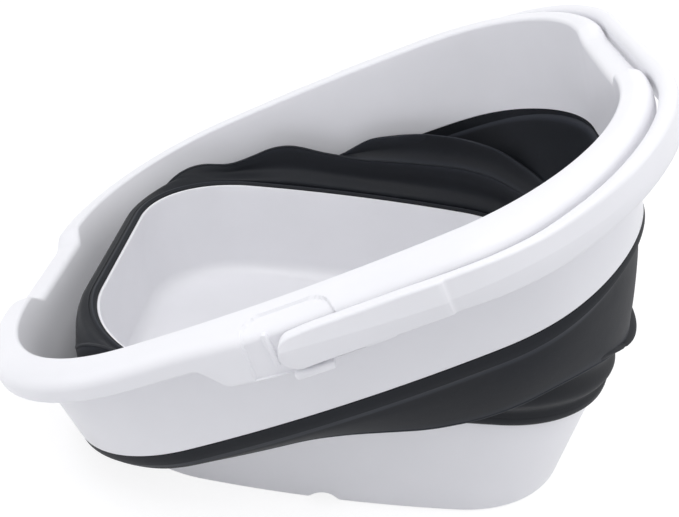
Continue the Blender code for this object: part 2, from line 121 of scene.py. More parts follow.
class Socket:
    """A node's output, with Math nodes behind the arithmetic signs."""

    def __init__(self, sheet, output):
        self.sheet = sheet
        self.output = output

    def math(self, operation, *values):
        return self.sheet.add("ShaderNodeMath", {"operation": operation}, dict(enumerate(values)))

    def __add__(self, other):
        return self.math("ADD", self, other)

    __radd__ = __add__

    def __sub__(self, other):
        return self.math("SUBTRACT", self, other)

    def __rsub__(self, other):
        return self.math("SUBTRACT", other, self)

    def __mul__(self, other):
        return self.math("MULTIPLY", self, other)

    __rmul__ = __mul__


class Tree:
    """A node tree, with one method that adds any node."""

    def add(self, kind, settings=None, inputs=None, output=0):
        node = self.tree.nodes.new(kind)
        for name, value in (settings or {}).items():
            if name == "stops":
                for stop, (position, grey) in zip(node.color_ramp.elements, value):
                    stop.position = position
                    stop.color = (grey, grey, grey, 1.0)
            else:
                setattr(node, name, value)
        for key, value in (inputs or {}).items():
            if isinstance(value, Socket):
                self.tree.links.new(value.output, node.inputs[key])
            else:
                node.inputs[key].default_value = value
        return Socket(self, node.outputs[output]) if node.outputs else node

    def seen(self):
        """1 where the camera sees it, straight, in a reflection or through something clear."""
        ray = self.tree.nodes.new("ShaderNodeLightPath").outputs
        seen = Socket(self, ray["Is Camera Ray"]) + Socket(self, ray["Is Glossy Ray"])
        return seen + Socket(self, ray["Is Transmission Ray"])


class Sheet(Tree):
    """The node tree of a new material."""

    def __init__(self, name):
        self.material = bpy.data.materials.new(name)
        self.material.use_nodes = True
        self.tree = self.material.node_tree
        self.tree.nodes.clear()

    def finish(self, shader):
        self.add("ShaderNodeOutputMaterial", inputs={"Surface": shader})
        return self.material

    def noise(self, scale, detail=3.0, roughness=0.5, place=None):
        place = place or self.add("ShaderNodeTexCoord", output="Object")
        inputs = {"Vector": place, "Scale": scale, "Detail": detail, "Roughness": roughness}
        return self.add("ShaderNodeTexNoise", inputs=inputs)

    def ramp(self, value, *stops):
        return self.add("ShaderNodeValToRGB", {"stops": stops}, {"Fac": value})

    def mixed(self, share, first, second):
        """A colour between two, which are colours or sockets."""
        inputs = {0: share, 6: first, 7: second}
        return self.add("ShaderNodeMix", {"data_type": "RGBA"}, inputs, output=2)


class Plan(Tree):
    """A Geometry Nodes tree with named inputs, which leaves a plain mesh."""

    def __init__(self, name, inputs):
        self.tree = bpy.data.node_groups.new(name, "GeometryNodeTree")
        self.keys = {}
        sockets = [("Geometry", "NodeSocketGeometry"), *inputs, ("Material", "NodeSocketMaterial")]
        new_socket = self.tree.interface.new_socket
        for label, kind in sockets:
            made = new_socket(name=label, in_out="INPUT", socket_type=kind)
            self.keys[label] = made.identifier
        new_socket(name="Geometry", in_out="OUTPUT", socket_type="NodeSocketGeometry")
        self.source = self.tree.nodes.new("NodeGroupInput")

    def given(self, label):
        return Socket(self, self.source.outputs[label])

    def end(self, geometry):
        """Closes the tree with Realize Instances and Set Material."""
        whole = self.add("GeometryNodeRealizeInstances", inputs={"Geometry": geometry})
        inputs = {"Geometry": whole, "Material": self.given("Material")}
        dressed = self.add("GeometryNodeSetMaterial", inputs=inputs)
        last = self.tree.nodes.new("NodeGroupOutput")
        self.tree.links.new(dressed.output, last.inputs["Geometry"])
        return self

    def apply(self, target, values):
        """Changes an object by the tree, and keeps the result as its mesh."""
        change = target.modifiers.new(self.tree.name, "NODES")
        change.node_group = self.tree
        for label, value in values.items():
            change[self.keys[label]] = value
        bpy.context.view_layer.update()
        evaluated = target.evaluated_get(bpy.context.evaluated_depsgraph_get())
        result = bpy.data.meshes.new_from_object(evaluated)
        target.modifiers.remove(change)
        target.data = result
        turn_outward(result, SOFT_SHARP)


def turn_outward(mesh, sharp):
    """Turns a closed mesh's faces outward and shades it smooth, up to an angle in degrees."""
    shape = bmesh.new()
    shape.from_mesh(mesh)
    bmesh.ops.recalc_face_normals(shape, faces=shape.faces)
    shape.to_mesh(mesh)
    shape.free()
    mesh.shade_smooth()
    mesh.set_sharp_from_angle(angle=radians(sharp))


def rgba(colour, factor=1.0):
    """A colour for a socket, made darker or lighter by a factor."""
    return (*[channel * factor for channel in colour], 1.0)


def plastic_material(name, settings):
    """Satin moulded polypropylene: faint clouding, a fine moulded texture and light rubbing."""
    sheet = Sheet(name)
    plain = settings.plastic_colour
    cloud = sheet.ramp(sheet.noise(scale=14.0, detail=4.0), (0.35, 0.0), (0.7, 1.0))
    place = sheet.add("ShaderNodeTexCoord", output="Object")
    streak = {"Vector": place, "Scale": (40.0, 40.0, 900.0)}
    streak = sheet.add("ShaderNodeMapping", inputs=streak)
    scuff_and_highlight = sheet.noise(scale=1.0, detail=6.0, roughness=0.65, place=streak)
    scuff_and_highlight = sheet.ramp(scuff_and_highlight, (0.60, 0.0), (0.75, 1.0))
    zone = sheet.ramp(sheet.noise(scale=22.0, detail=2.0), (0.5, 0.0), (0.66, 1.0))
    scuff = scuff_and_highlight * zone * settings.scuffing
    colour = sheet.mixed(cloud, rgba(plain), rgba(plain, 0.965))
    colour = sheet.mixed(scuff * 0.5, colour, rgba(plain, 0.90))
    grain = sheet.noise(scale=1500.0, detail=2.0, roughness=0.6)
    waves = sheet.noise(scale=60.0, detail=2.0, roughness=0.4)
    height = grain * 0.6 + waves * 2.0 + scuff * 1.5
    bump = {"Strength": 0.25, "Distance": 0.00012, "Height": height}
    inputs = {
        "Base Color": colour,
        "Roughness": settings.plastic_roughness + cloud * 0.05 + scuff * 0.18,
        "Normal": sheet.add("ShaderNodeBump", inputs=bump),
        "IOR": 1.49,
        "Specular IOR Level": 0.45,
    }
    return sheet.finish(sheet.add("ShaderNodeBsdfPrincipled", inputs=inputs))


def rubber_material(name, settings):
    """Matt thermoplastic rubber: fine grain, a dusty bloom, and crests made paler by a painted highlight."""
    sheet = Sheet(name)
    plain = settings.rubber_colour
    cloud = sheet.noise(scale=18.0, detail=5.0, roughness=0.6)
    cloud = sheet.ramp(cloud, (0.3, 0.0), (0.72, 1.0))
    dust = sheet.noise(scale=420.0, detail=3.0, roughness=0.7)
    dust = sheet.ramp(dust, (0.55, 0.0), (0.72, 1.0))
    crest = sheet.add("ShaderNodeAttribute", {"attribute_name": "crest"}, output="Fac")
    colour = sheet.mixed(cloud, rgba(plain), rgba(plain, 1.35))
    colour = sheet.mixed(dust * 0.12, colour, rgba(plain, 3.2))
    # Painted highlight: the crest attribute lightens the colour along crests and along strips that face the
    # light
    colour = sheet.mixed(crest * 0.5, colour, rgba(plain, 5.0))
    grain = sheet.noise(scale=1100.0, detail=2.0, roughness=0.6)
    waves = sheet.noise(scale=90.0, detail=3.0, roughness=0.5)
    bump = {"Strength": 0.35, "Distance": 0.00016, "Height": grain * 0.7 + waves * 2.2}
    inputs = {
        "Base Color": colour,
        "Roughness": settings.rubber_roughness + cloud * 0.08 - crest * 0.08,
        "Normal": sheet.add("ShaderNodeBump", inputs=bump),
        "IOR": 1.5,
        "Specular IOR Level": 0.22,
    }
    return sheet.finish(sheet.add("ShaderNodeBsdfPrincipled", inputs=inputs))


def floor_material(name):
    """White with the object's soft shadow where the camera sees it, and plain to light."""
    sheet = Sheet(name)
    plain = sheet.add("ShaderNodeBsdfDiffuse", inputs={"Color": (0.80, 0.80, 0.81, 1.0)})
    shaded = sheet.add("ShaderNodeBsdfDiffuse", inputs={"Color": (0.30, 0.30, 0.31, 1.0)})
    white = {"Color": (1.0, 1.0, 1.0, 1.0), "Strength": 0.82}
    glow = sheet.add("ShaderNodeEmission", inputs=white)
    both = sheet.add("ShaderNodeAddShader", inputs={0: shaded, 1: glow})
    mix = {0: sheet.seen(), 1: plain, 2: both}
    return sheet.finish(sheet.add("ShaderNodeMixShader", inputs=mix))


def finish_of(kind):
    """The plastic or the rubber, made once."""
    made = bpy.data.materials.get(kind)
    if made:
        return made
    settings = bpy.context.scene.tub_finish
    return (plastic_material if kind == PLASTIC else rubber_material)(kind, settings)


# Shapes


def smooth(value, start, end):
    """0 before start, 1 after end, and a smooth step between."""
    share = np.clip((value - start) / (end - start), 0.0, 1.0)
    return share * share * (3.0 - 2.0 * share)


def eased(place, line, reach):
    """Values along a line of (place, value) pairs, its corners smoothed over reach each way."""
    places, values = zip(*line)
    shifts = np.linspace(-reach, reach, 9)
    return np.mean([np.interp(place + shift, places, values) for shift in shifts], axis=0)


def outline(half_length, half_width, corner, marks=None, ends=8, turns=36, sides=60):
    """Points and outward normals round an outline, as columns, from the +X end through +Y:
    straight ends, round corners and sides of a large radius. marks are the sides' own places
    along X."""
    corner_x = half_length - corner
    side_y = half_width - SIDE_RADIUS
    corner_y = side_y + sqrt((SIDE_RADIUS - corner) ** 2 - corner_x**2)
    last = atan2(corner_y - side_y, corner_x)
    y = np.linspace(0.0, corner_y, ends, endpoint=False)
    end = np.stack([np.full(ends, half_length), y, np.ones(ends), np.zeros(ends)])
    angle = np.linspace(0.0, last, turns, endpoint=False)
    across, up = np.cos(angle), np.sin(angle)
    turn = np.stack([corner_x + corner * across, corner_y + corner * up, across, up])
    if marks is None:
        angle = np.linspace(last, pi - last, sides + 1)
    else:
        edge = SIDE_RADIUS * cos(last)
        angle = np.arccos(np.concatenate([[edge], marks, [-edge]]) / SIDE_RADIUS)
    across, up = np.cos(angle), np.sin(angle)
    side = np.stack([SIDE_RADIUS * across, side_y + SIDE_RADIUS * up, across, up])
    right = np.hstack([end, turn])
    left = right[:, ::-1] * np.array([[-1.0], [1.0], [-1.0], [1.0]])
    back = np.hstack([right, side, left])
    front = back[:, 1:-1][:, ::-1] * np.array([[1.0], [-1.0], [1.0], [-1.0]])
    return np.hstack([back, front])


def crease_outline(size, tucks, marks=None):
    """An outline whose -X and +X ends stand in by the two tucks."""
    half_length, half_width, corner = size
    left, right = (
        outline(half_length - tuck, half_width, corner, marks, turns=48) for tuck in tucks
    )
    return left + (right - left) * smooth(left[0], -0.060, 0.060)


def marks_between(edge, fine_start, fine_end, fine, coarse):
    """Places along a side, from +edge down to -edge, closer together between two limits."""
    parts = [
        np.arange(edge, fine_start, -coarse),
        np.arange(fine_start, fine_end, -fine),
        np.arange(fine_end, -edge, -coarse),
    ]
    return np.concatenate(parts)


def row(stations, offset, height):
    """Points beside an outline: out along its normals, and at a height."""
    x, y, nx, ny = stations
    return np.stack([x + offset * nx, y + offset * ny, height + 0.0 * x], axis=1)


def arc(offset, height, radius, start, end, steps):
    """Offsets and heights round an arc. Angles in degrees: 0 is outward and 90 is up."""
    angles = np.radians(np.linspace(start, end, steps))
    return [(offset + radius * cos(angle), height + radius * sin(angle)) for angle in angles]


def between(first, second, steps):
    """Rows that divide the space between two rows, without the two themselves."""
    return [first + (second - first) * step / (steps + 1) for step in range(1, steps + 1)]


def placed(place, points):
    """Points moved by a matrix."""
    matrix = np.array(place)
    return points @ matrix[:3, :3].T + matrix[:3, 3]


def new_object(name, points, faces, kind, place=Matrix(), edges=(), sharp=RIGID_SHARP):
    """A piece with outward normals and smooth shading, in its place."""
    mesh = bpy.data.meshes.new(name)
    mesh.from_pydata(placed(place, points).tolist(), list(edges), faces)
    if faces:
        turn_outward(mesh, sharp)
    mesh.materials.append(finish_of(kind))
    made = bpy.data.objects.new(name, mesh)
    bpy.context.scene.collection.objects.link(made)
    return made


def loft(
    name, rows, kind, place=Matrix(), closed_section=True, closed_path=True, sharp=RIGID_SHARP
):
    """A closed piece through rows of points. Where the section or the path doesn't close, its
    two ends are filled."""
    rows = np.array(rows)
    turns, count = rows.shape[:2]
    faces = []
    for turn in range(turns if closed_section else turns - 1):
        start = turn * count
        after = (turn + 1) % turns * count
        for step in range(count if closed_path else count - 1):
            beside = (step + 1) % count
            faces.append((start + step, start + beside, after + beside, after + step))
    if not closed_section:
        faces.append(tuple(range(count)))
        faces.append(tuple(range((turns - 1) * count, turns * count)))
    if not closed_path:
        faces.append(tuple(turn * count for turn in range(turns)))
        faces.append(tuple(turn * count + count - 1 for turn in range(turns)))
    return new_object(name, rows.reshape(-1, 3), faces, kind, place, sharp=sharp)


def surface_normals(rows):
    """Normals of a closed ring's points."""
    along = np.roll(rows, -1, axis=1) - np.roll(rows, 1, axis=1)
    up = np.roll(rows, -1, axis=0) - np.roll(rows, 1, axis=0)
    normals = np.cross(along, up)
    return normals / np.maximum(np.linalg.norm(normals, axis=2, keepdims=True), 1e-12)


def set_values(piece, name, values):
    """Stores a number for each point of a piece's mesh."""
    attributes = piece.data.attributes
    attribute = attributes.get(name) or attributes.new(name, "FLOAT", "POINT")
    attribute.data.foreach_set("value", np.asarray(values, np.float32).ravel())


def dress(piece, body, slot, *nodes):
    """Ties a finished piece to its body and hides the nodes it stands for.
    slot is not used."""
    if nodes:
        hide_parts(*nodes)
    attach(piece, body)


def rounded_block(name, centre, size, edge, kind, place):
    """A small block with rounded edges."""
    shape = bmesh.new()
    bmesh.ops.create_cube(shape, size=1.0)
    bmesh.ops.scale(shape, vec=size, verts=shape.verts)
    edges = list(shape.edges)
    bmesh.ops.bevel(shape, geom=edges, offset=edge, segments=4, profile=0.5, affect="EDGES")
    bmesh.ops.translate(shape, vec=centre, verts=shape.verts)
    shape.verts.index_update()
    points = np.array([vertex.co for vertex in shape.verts])
    faces = [tuple(vertex.index for vertex in face.verts) for face in shape.faces]
    shape.free()
    return new_object(name, points, faces, kind, place)


# Settings


class TubShape(bpy.types.PropertyGroup):
    """Sizes of the dressed tub that a user would change."""

    base_wall: bpy.props.FloatProperty(
        name="Base wall",
        description="Thickness of the base tub's wall",
        default=0.0022,
        unit="LENGTH",
    )
    foot_round: bpy.props.FloatProperty(
        name="Foot round",
        description="Radius of the base tub's lower edge",
        default=0.0045,
        unit="LENGTH",
    )
    inner_round: bpy.props.FloatProperty(
        name="Inner round",
        description="Radius between the base tub's wall and floor",
        default=0.012,
        unit="LENGTH",
    )
    notch_height: bpy.props.FloatProperty(
        name="Foot notch",
        description="Height of the two notches in the foot",
        default=0.0066,
        unit="LENGTH",
    )
    wall_thickness: bpy.props.FloatProperty(
        name="Folding wall",
        description="Thickness of the folding wall",
        default=0.0013,
        unit="LENGTH",
    )
    pleat_height: bpy.props.FloatProperty(
        name="Pleat height",
        description="How far the folding wall's pleats swell",
        default=1.0,
        min=0.0,
    )
    grip_drop: bpy.props.FloatProperty(
        name="Grip scallop",
        description="How much lower the rim is where the hand goes",
        default=0.0076,
        unit="LENGTH",
    )
    pocket_depth: bpy.props.FloatProperty(
        name="Pivot pocket",
        description="Depth of the pocket round the handle's pivot",
        default=0.0014,
        unit="LENGTH",
    )
    arm_thickness: bpy.props.FloatProperty(
        name="Handle arm",
        description="Thickness of the handle's arms",
        default=0.007,
        unit="LENGTH",
    )
    grip_thickness: bpy.props.FloatProperty(
        name="Handle grip",
        description="Thickness of the handle's grip",
        default=0.010,
        unit="LENGTH",
    )


class TubFinish(bpy.types.PropertyGroup):
    """Colours and surface of the tub's two materials."""

    plastic_colour: bpy.props.FloatVectorProperty(
        name="Plastic",
        description="Colour of the rigid pieces",
        default=(0.89, 0.888, 0.915),
        min=0.0,
        max=1.0,
        subtype="COLOR",
    )
    plastic_roughness: bpy.props.FloatProperty(
        name="Plastic roughness",
        description="Roughness of the rigid pieces",
        default=0.33,
        min=0.0,
        max=1.0,
        subtype="FACTOR",
    )
    scuffing: bpy.props.FloatProperty(
        name="Scuffing",
        description="Strength of the light rubbing on the rigid pieces",
        default=0.5,
        min=0.0,
        max=1.0,
        subtype="FACTOR",
    )
    rubber_colour: bpy.props.FloatVectorProperty(
        name="Rubber",
        description="Colour of the folding wall",
        default=(0.0085, 0.0098, 0.0130),
        min=0.0,
        max=1.0,
        subtype="COLOR",
    )
    rubber_roughness: bpy.props.FloatProperty(
        name="Rubber roughness",
        description="Roughness of the folding wall",
        default=0.55,
        min=0.0,
        max=1.0,
        subtype="FACTOR",
    )


# Base tub

FOOT_RECESS = 0.004
FOOT_WIDTH = 0.006
FOOT_BEVEL = 0.0006
BASE_FLOOR = 0.0024
BASE_TUCKS = (0.0, 0.0050)
NOTCH_X = -0.0068
NOTCH_WIDTH = 0.0200
NOTCH_MARGIN = 0.002
SIDE_FROM_Y = 0.05
LIP_BEVEL = 0.0006
LIP_OUTER = 0.0008
LIP_INNER = 0.0007
LIP_CUT = 0.0002
LIP_DEPTH = 0.0105
FLOOR_INSETS = (0.020, 0.060)
ROUND_STEPS = 12
OUTSIDE_STEPS = 10
INSIDE_STEPS = 12


def arched(points, height):
    """Lifts a foot's points into the two notches, which are arches of a height."""
    radius = ((NOTCH_WIDTH / 2) ** 2 + height**2) / (2 * height)
    reach = np.clip(radius**2 - (points[:, 0] - NOTCH_X) ** 2, 0.0, None)
    arch = height - radius + np.sqrt(reach)
    on_side = np.abs(points[:, 1]) > SIDE_FROM_Y
    points[:, 2] = np.where(on_side, np.maximum(points[:, 2], arch), points[:, 2])
    return points


class TUB_OT_base(bpy.types.Operator):
    """Make the base tub, with its rounded foot ring and two notches"""

    bl_idname = "tub.base"
    bl_label = "Base tub"

    def execute(self, context):
        shape = context.scene.tub_shape
        wall, edge, inner_round = shape.base_wall, shape.foot_round, shape.inner_round
        notch_reach = NOTCH_WIDTH / 2 + NOTCH_MARGIN
        marks = marks_between(
            edge=0.070,
            fine_start=NOTCH_X + notch_reach,
            fine_end=NOTCH_X - notch_reach,
            fine=0.0005,
            coarse=0.004,
        )
        top = crease_outline(BASE_TOP, BASE_TUCKS, marks)
        foot = crease_outline(BASE_FOOT, BASE_TUCKS, marks)
        floor_top = FOOT_RECESS + BASE_FLOOR
        ring = -edge - FOOT_WIDTH
        outside = [
            row(foot, ring - FOOT_RECESS, FOOT_RECESS),
            row(foot, ring - FOOT_BEVEL, FOOT_BEVEL),
            row(foot, ring, 0.0),
            row(foot, ring + FOOT_WIDTH / 2, 0.0),
        ]
        corner = arc(-edge, edge, edge, -90.0, 0.0, ROUND_STEPS)
        outside += [row(foot, *point) for point in corner]
        outside = [arched(points, shape.notch_height) for points in outside]
        lip_low = row(top, wall, BASE_HEIGHT - LIP_DEPTH)
        wall_rows = between(outside[-1], lip_low, OUTSIDE_STEPS)
        lip = [
            lip_low,
            row(top, wall, BASE_HEIGHT - LIP_OUTER),
            row(top, wall - LIP_BEVEL, BASE_HEIGHT),
            row(top, LIP_INNER, BASE_HEIGHT),
            row(top, LIP_CUT, BASE_HEIGHT - LIP_CUT),
            row(top, 0.0, BASE_HEIGHT - LIP_INNER),
        ]
        centre = (-wall - inner_round, floor_top + inner_round)
        corner = arc(*centre, inner_round, 0.0, -90.0, ROUND_STEPS)
        bottom = [row(foot, *point) for point in corner]
        inside = between(lip[-1], bottom[0], INSIDE_STEPS)
        floor = [row(foot, -inset, floor_top) for inset in FLOOR_INSETS]
        rows = outside + wall_rows + lip + inside + bottom + floor
        piece = loft("base_tub_moulding", rows, PLASTIC, BASE_PLACE, closed_section=False)
        dress(piece, "base", "white_plastic", "base_tub")
        return {"FINISHED"}


# Folding wall

LOWER_TUCKS = (0.0015, 0.0085)
LIP_TUCKS = (0.0050, 0.0072)
END_TAPER = 0.0052
END_FACING = (0.30, 0.95)
COLLAR_LOW = 0.0040
COLLAR_SWELL = 0.0045
SEAM_GAP = 0.0002
SEAM_INSET = 0.0001
CREST_INSET = 0.002
CREASE_EASE = 0.006
LIP_EASE = 0.008

# The wall's lines at rest in the links' shared frame: places along X and heights there
LOWER_CREASE_LINE = (
    (-0.170, 0.0480), (-0.163, 0.0550), (-0.152, 0.0680), (-0.143, 0.0760), (-0.132, 0.0808),
    (-0.120, 0.0812), (-0.112, 0.0790), (-0.104, 0.0760), (-0.097, 0.0748), (-0.089, 0.0757),
    (-0.076, 0.0788), (-0.063, 0.0826), (-0.050, 0.0832), (-0.039, 0.0805), (-0.023, 0.0735),
    (0.008, 0.0632), (0.047, 0.0562), (0.088, 0.0480), (0.112, 0.0415), (0.140, 0.0280),
    (0.162, 0.0150),
)
CREST_LINE = (
    (-0.170, 0.0500), (-0.130, 0.0650), (-0.100, 0.0710), (-0.060, 0.0750), (-0.0185, 0.0742),
    (-0.007, 0.0739), (0.003, 0.0752), (0.018, 0.0786), (0.051, 0.0793), (0.0685, 0.0775),
    (0.092, 0.0720), (0.121, 0.0629), (0.144, 0.0563), (0.167, 0.0500), (0.174, 0.0490),
)
LIP_LINE = (
    (-0.176, 0.0160), (-0.106, 0.0125), (-0.061, 0.0216), (-0.018, 0.0305), (0.003, 0.0316),
    (0.020, 0.0308), (0.046, 0.0290), (0.071, 0.0307), (0.092, 0.0354), (0.112, 0.0406),
    (0.127, 0.0416), (0.140, 0.0404), (0.155, 0.0360), (0.166, 0.0325),
)

# The bead on the base's lip in section: distances out, heights and how much painted highlight it gets there
CAP_SECTION = (
    (0.0025, 0.0750, 0.0), (0.0048, 0.0750, 0.0), (0.0060, 0.0755, 0.0),
    (0.0069, 0.0767, 0.0), (0.0071, 0.0782, 0.0), (0.0071, 0.0800, 0.0),
    (0.0068, 0.0813, 0.0), (0.0061, 0.0819, 0.0), (0.0054, 0.0821, 0.0),
    (0.0050, 0.0826, 0.5), (0.0046, 0.0827, 0.9), (0.0042, 0.0826, 0.5),
    (0.0038, 0.0821, 0.0), (0.0029, 0.0818, 0.0), (0.0024, 0.0816, 0.0),
    (0.0020, 0.0813, 0.0), (0.0019, 0.0808, 0.0), (0.0027, 0.0806, 0.0),
)
CAP_EDGE = (0.0066, 0.0812)

# The beads along the creases: name, radius, how much painted highlight it gets, body and node
BEAD_SIDES = 14
CREASE_BEADS = (
    ("lower_crease_bead", 0.0011, 0.15, "lower_link", "lower_crease"),
    ("lip_crease_bead", 0.0010, 0.50, "upper_link", "upper_crease"),
)

# Bulges of the lower web: its share of the way up, how far out at the left end, along the
# sides, along the sides but not at the right end, and at the right end, and how far up at the
# left end
LOWER_BULGES = (
    (0.16, 0.0030, -0.0016, 0.0, 0.0, 0.0040),
    (0.40, 0.0034, 0.0050, 0.0, -0.0022, 0.0030),
    (0.74, 0.0014, 0.0, 0.0026, 0.0, 0.0),
)

# Bulges of the middle web at the right end: its share of the way up and how far out
MIDDLE_BULGES = ((0.2, 0.0040), (0.45, 0.0078), (0.75, 0.0066))
VALLEY_SHARE = 0.45
VALLEY_BULGE = 0.0040
UNDER_LIP_SHARE = 0.55
UNDER_LIP_BULGE = 0.002

# The step in which the upper web meets the bead under the shell
STEP_IN = 0.0028
END_STEP_IN = 0.0020
STEP_DOWN = 0.0026
STEP_EDGE = (0.0016, 0.0006)
UPPER_SHARES = (0.35, 0.7)
UPPER_BULGE = 0.0010

LOWER_STEPS = 6
MIDDLE_STEPS = 8
UPPER_STEPS = 6
PLEAT_SHARE = 0.02
PLEAT_WAVES = 2.0

# The bead under the shell in section: distances out from its outer face, shares of the way
# down, heights above that and how much painted highlight it gets there
COLLAR_SECTION = (
    (-0.0026, 0.0, 0.0, 0.0),
    (-0.0001, 0.0, 0.0, 0.0),
    (0.0, 0.0, -0.0003, 0.1),
    (0.0, 0.5, 0.0, 0.0),
    (0.0, 1.0, 0.0006, 0.1),
    (-0.0002, 1.0, 0.0002, 0.25),
    (-0.0006, 1.0, 0.0, 0.1),
    (-0.0026, 1.0, 0.0, 0.0),
)


def crease_lines():
    """The lower crease, the inner crest above it and the lip, as rows of points."""
    lower = crease_outline(LOWER_CREASE, LOWER_TUCKS)
    upper = crease_outline(UPPER_CREASE, LIP_TUCKS)
    middle = 0.5 * (lower + upper)
    lower_line = row(lower, 0.0, eased(lower[0], LOWER_CREASE_LINE, CREASE_EASE))
    crest_line = row(middle, -CREST_INSET, eased(middle[0], CREST_LINE, LIP_EASE))
    lip_line = row(upper, 0.0, eased(upper[0], LIP_LINE, LIP_EASE))
    return lower_line, crest_line, lip_line


def spline_rows(controls, steps):
    """Rows along a smooth curve through rows of control points."""
    padded = [2 * controls[0] - controls[1], *controls, 2 * controls[-1] - controls[-2]]
    rows = []
    for place in range(1, len(padded) - 2):
        a, b, c, d = padded[place - 1 : place + 3]
        for step in range(steps):
            t = step / steps
            bend = (2 * a - 5 * b + 4 * c - d) * t**2 + (3 * b - a - 3 * c + d) * t**3
            rows.append(0.5 * (2 * b + (c - a) * t + bend))
    rows.append(controls[-1])
    return np.array(rows)


def wall_piece(name, sheet_rows, thickness, swell, crest):
    """A closed wall of even thickness about rows of points. swell is how far it swells at each
    station, and crest is how much painted highlight each row gets."""
    count, stations = sheet_rows.shape[:2]
    along = np.roll(sheet_rows, -1, axis=1) - np.roll(sheet_rows, 1, axis=1)
    normals = np.cross(along, np.gradient(sheet_rows, axis=0))
    normals /= np.maximum(np.linalg.norm(normals, axis=2, keepdims=True), 1e-12)
    normals *= np.sign(np.sum(normals * (sheet_rows * [1.0, 1.0, 0.0])))
    outer = sheet_rows + normals * thickness / 2
    inner = (sheet_rows - normals * thickness / 2)[::-1]
    rows = np.concatenate([outer, inner])
    piece = loft(name, rows, RUBBER, LINK_PLACE, sharp=SOFT_SHARP)
    share = np.linspace(0.0, 1.0, count)
    turned = normals @ np.array(LINK_PLACE)[:3, :3].T
    outward = np.concatenate([turned, turned[::-1]])
    set_values(piece, "share", np.repeat(np.concatenate([share, share[::-1]]), stations))
    set_values(piece, "crest", np.repeat(np.concatenate([crest, crest[::-1]]), stations))
    set_values(piece, "swell", np.tile(swell, 2 * count))
    attribute = piece.data.attributes.new("outward", "FLOAT_VECTOR", "POINT")
    attribute.data.foreach_set("vector", outward.astype(np.float32).ravel())
    return piece


def pleat_plan():
    """Moves a wall's points out by its stored swell, in waves across its width."""
    plan = Plan("pleated_wall", [("Height", "NodeSocketFloat"), ("Waves", "NodeSocketFloat")])

    def stored(name, kind="FLOAT"):
        return plan.add("GeometryNodeInputNamedAttribute", {"data_type": kind}, {"Name": name})

    turn = stored("share") * plan.given("Waves") * pi
    size = turn.math("SINE", turn) * stored("swell") * plan.given("Height")
    scaled = {"Vector": stored("outward", "FLOAT_VECTOR"), "Scale": size}
    shift = plan.add("ShaderNodeVectorMath", {"operation": "SCALE"}, scaled)
    moved = {"Geometry": plan.given("Geometry"), "Offset": shift}
    return plan.end(plan.add("GeometryNodeSetPosition", inputs=moved))


def bead_plan():
    """A round bead swept along a closed line."""
    plan = Plan("swept_bead", [("Radius", "NodeSocketFloat"), ("Sides", "NodeSocketInt")])
    line = plan.add("GeometryNodeMeshToCurve", inputs={"Mesh": plan.given("Geometry")})
    inputs = {"Resolution": plan.given("Sides"), "Radius": plan.given("Radius")}
    circle = plan.add("GeometryNodeCurvePrimitiveCircle", {"mode": "RADIUS"}, inputs)
    inputs = {"Curve": line, "Profile Curve": circle}
    return plan.end(plan.add("GeometryNodeCurveToMesh", inputs=inputs))


class TUB_OT_cap(bpy.types.Operator):
    """Make the soft bead round the base tub's lip"""

    bl_idname = "tub.cap"
    bl_label = "Bead on the base"

    def execute(self, context):
        top = crease_outline(BASE_TOP, BASE_TUCKS)
        rows = [row(top, out, height) for out, height, highlight in CAP_SECTION]
        piece = loft("lip_bead", rows, RUBBER, BASE_PLACE)
        # Painted highlight along the bead's ridge, from the section's last column
        highlight = [highlight_level for out, height, highlight_level in CAP_SECTION]
        set_values(piece, "crest", np.repeat(highlight, top.shape[1]))
        dress(piece, "base", "charcoal_rubber", "wall_cap")
        return {"FINISHED"}


class TUB_OT_creases(bpy.types.Operator):
    """Make the two crease beads of the folding wall"""

    bl_idname = "tub.creases"
    bl_label = "Crease beads"

    def execute(self, context):
        plan = bead_plan()
        lower_line, _, lip_line = crease_lines()
        rubber = finish_of(RUBBER)
        for line, bead in zip((lower_line, lip_line), CREASE_BEADS):
            name, radius, highlight, body, node = bead
            count = len(line)
            edges = [(step, (step + 1) % count) for step in range(count)]
            piece = new_object(name, line, [], RUBBER, LINK_PLACE, edges)
            plan.apply(piece, {"Radius": radius, "Sides": BEAD_SIDES, "Material": rubber})
            # Painted highlight along the whole bead
            set_values(piece, "crest", np.full(len(piece.data.vertices), highlight))
            dress(piece, body, "charcoal_rubber", node)
        return {"FINISHED"}


def collar_height(x):
    """How tall the soft bead under the shell is: tallest in the middle of the sides."""
    on_side = smooth(x, -0.185, -0.080) * (1.0 - smooth(x, 0.090, 0.185))
    return COLLAR_LOW + COLLAR_SWELL * on_side


def shell_taper(stations):
    """How far the shell's lower edge stands in from the rim's outline: more round the +X end."""
    return SHELL_TAPER + END_TAPER * smooth(stations[2], *END_FACING)


def wall_zones(x):
    """How much a place along X belongs to the left end, to the sides, to the right end and to
    the hump, where the middle web folds inward."""
    left = 1.0 - smooth(x, -0.150, -0.105)
    side = smooth(x, -0.140, -0.080)
    right = smooth(x, 0.030, 0.150)
    hump = smooth(x, -0.050, 0.020) * (1.0 - smooth(x, 0.110, 0.166))
    return left, side, right, hump


def scuff_and_highlight(share, place, strength, narrow=16.0):
    """A painted highlight across a web, at shares of its width: strongest at one place."""
    return strength * np.exp(-(((share - place) * narrow) ** 2))


def lower_web_rows(lower_line, outward, zones):
    """Rows from the base's bead to the lower crease, and how far the web swells."""
    left, side, right, _ = zones
    top = crease_outline(BASE_TOP, BASE_TUCKS)
    cap_edge = placed(LINK_PLACE.inverted() @ BASE_PLACE, row(top, *CAP_EDGE))
    chord = lower_line - cap_edge
    controls = [cap_edge]
    for part, out_left, out_side, out_side_only, out_right, up_left in LOWER_BULGES:
        out = out_left * left + out_side * side
        out = out + out_side_only * side * (1.0 - right) + out_right * right
        control = cap_edge + chord * part + outward * out[:, None]
        control[:, 2] += up_left * left
        controls.append(control)
    controls.append(lower_line)
    return spline_rows(controls, LOWER_STEPS), PLEAT_SHARE * np.linalg.norm(chord, axis=1)


